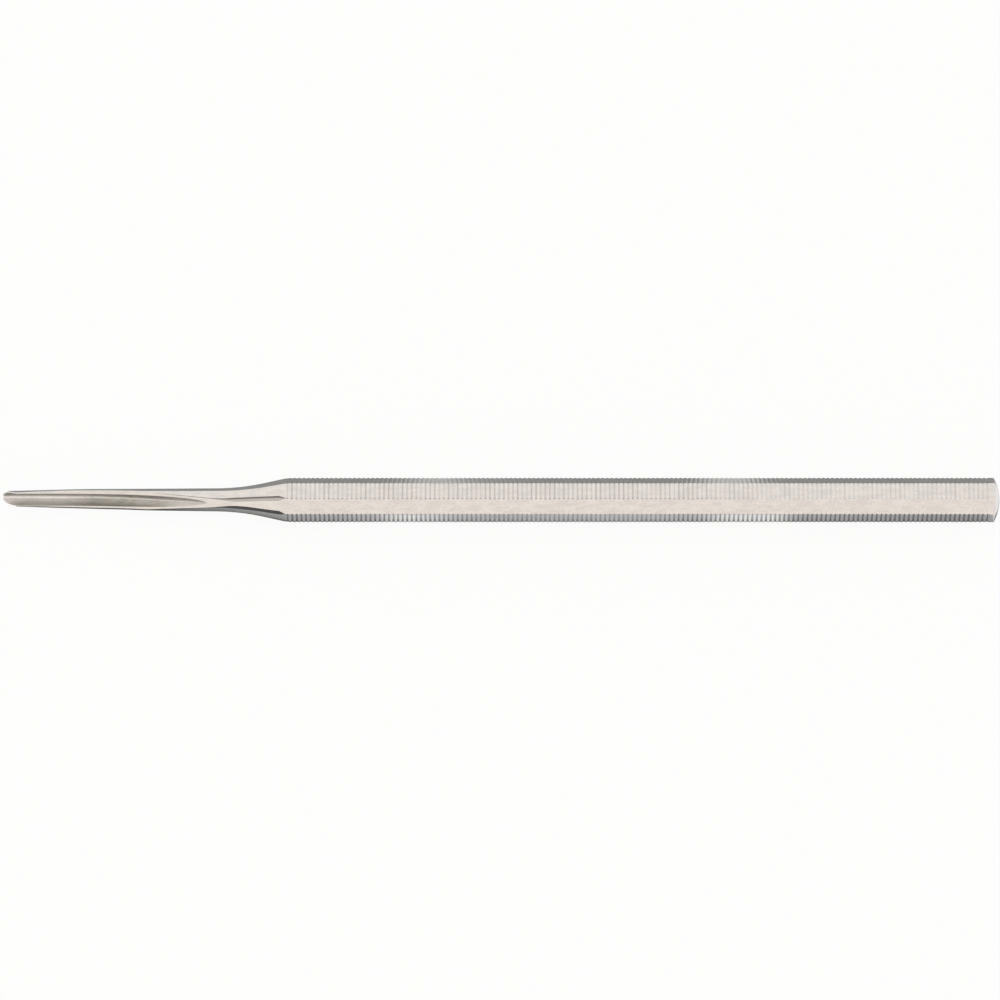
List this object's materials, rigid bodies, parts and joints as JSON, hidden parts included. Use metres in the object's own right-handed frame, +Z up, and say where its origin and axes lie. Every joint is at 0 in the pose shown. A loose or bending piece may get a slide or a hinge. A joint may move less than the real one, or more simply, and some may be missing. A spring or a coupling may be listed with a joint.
{
  "type": "bone gouge",
  "caption": "Slim one-piece bone gouge: a channelled blade with a bevelled cutting tip, a ground neck and a serrated octagonal handle with a domed head.",
  "frame": {"origin": "middle of the bounding box's bottom, where the serrated handle facet rests", "axes": "+X from the cutting tip to the domed head, +Z up; the smooth front facet and the channel look half way between +Z and -Y"},
  "size_m": [0.146, 0.006, 0.006],
  "materials": {
    "stainless_steel": "satin ground stainless steel"
  },
  "bodies": {
    "root": {"gouge": "stainless_steel"}
  },
  "joints": []
}
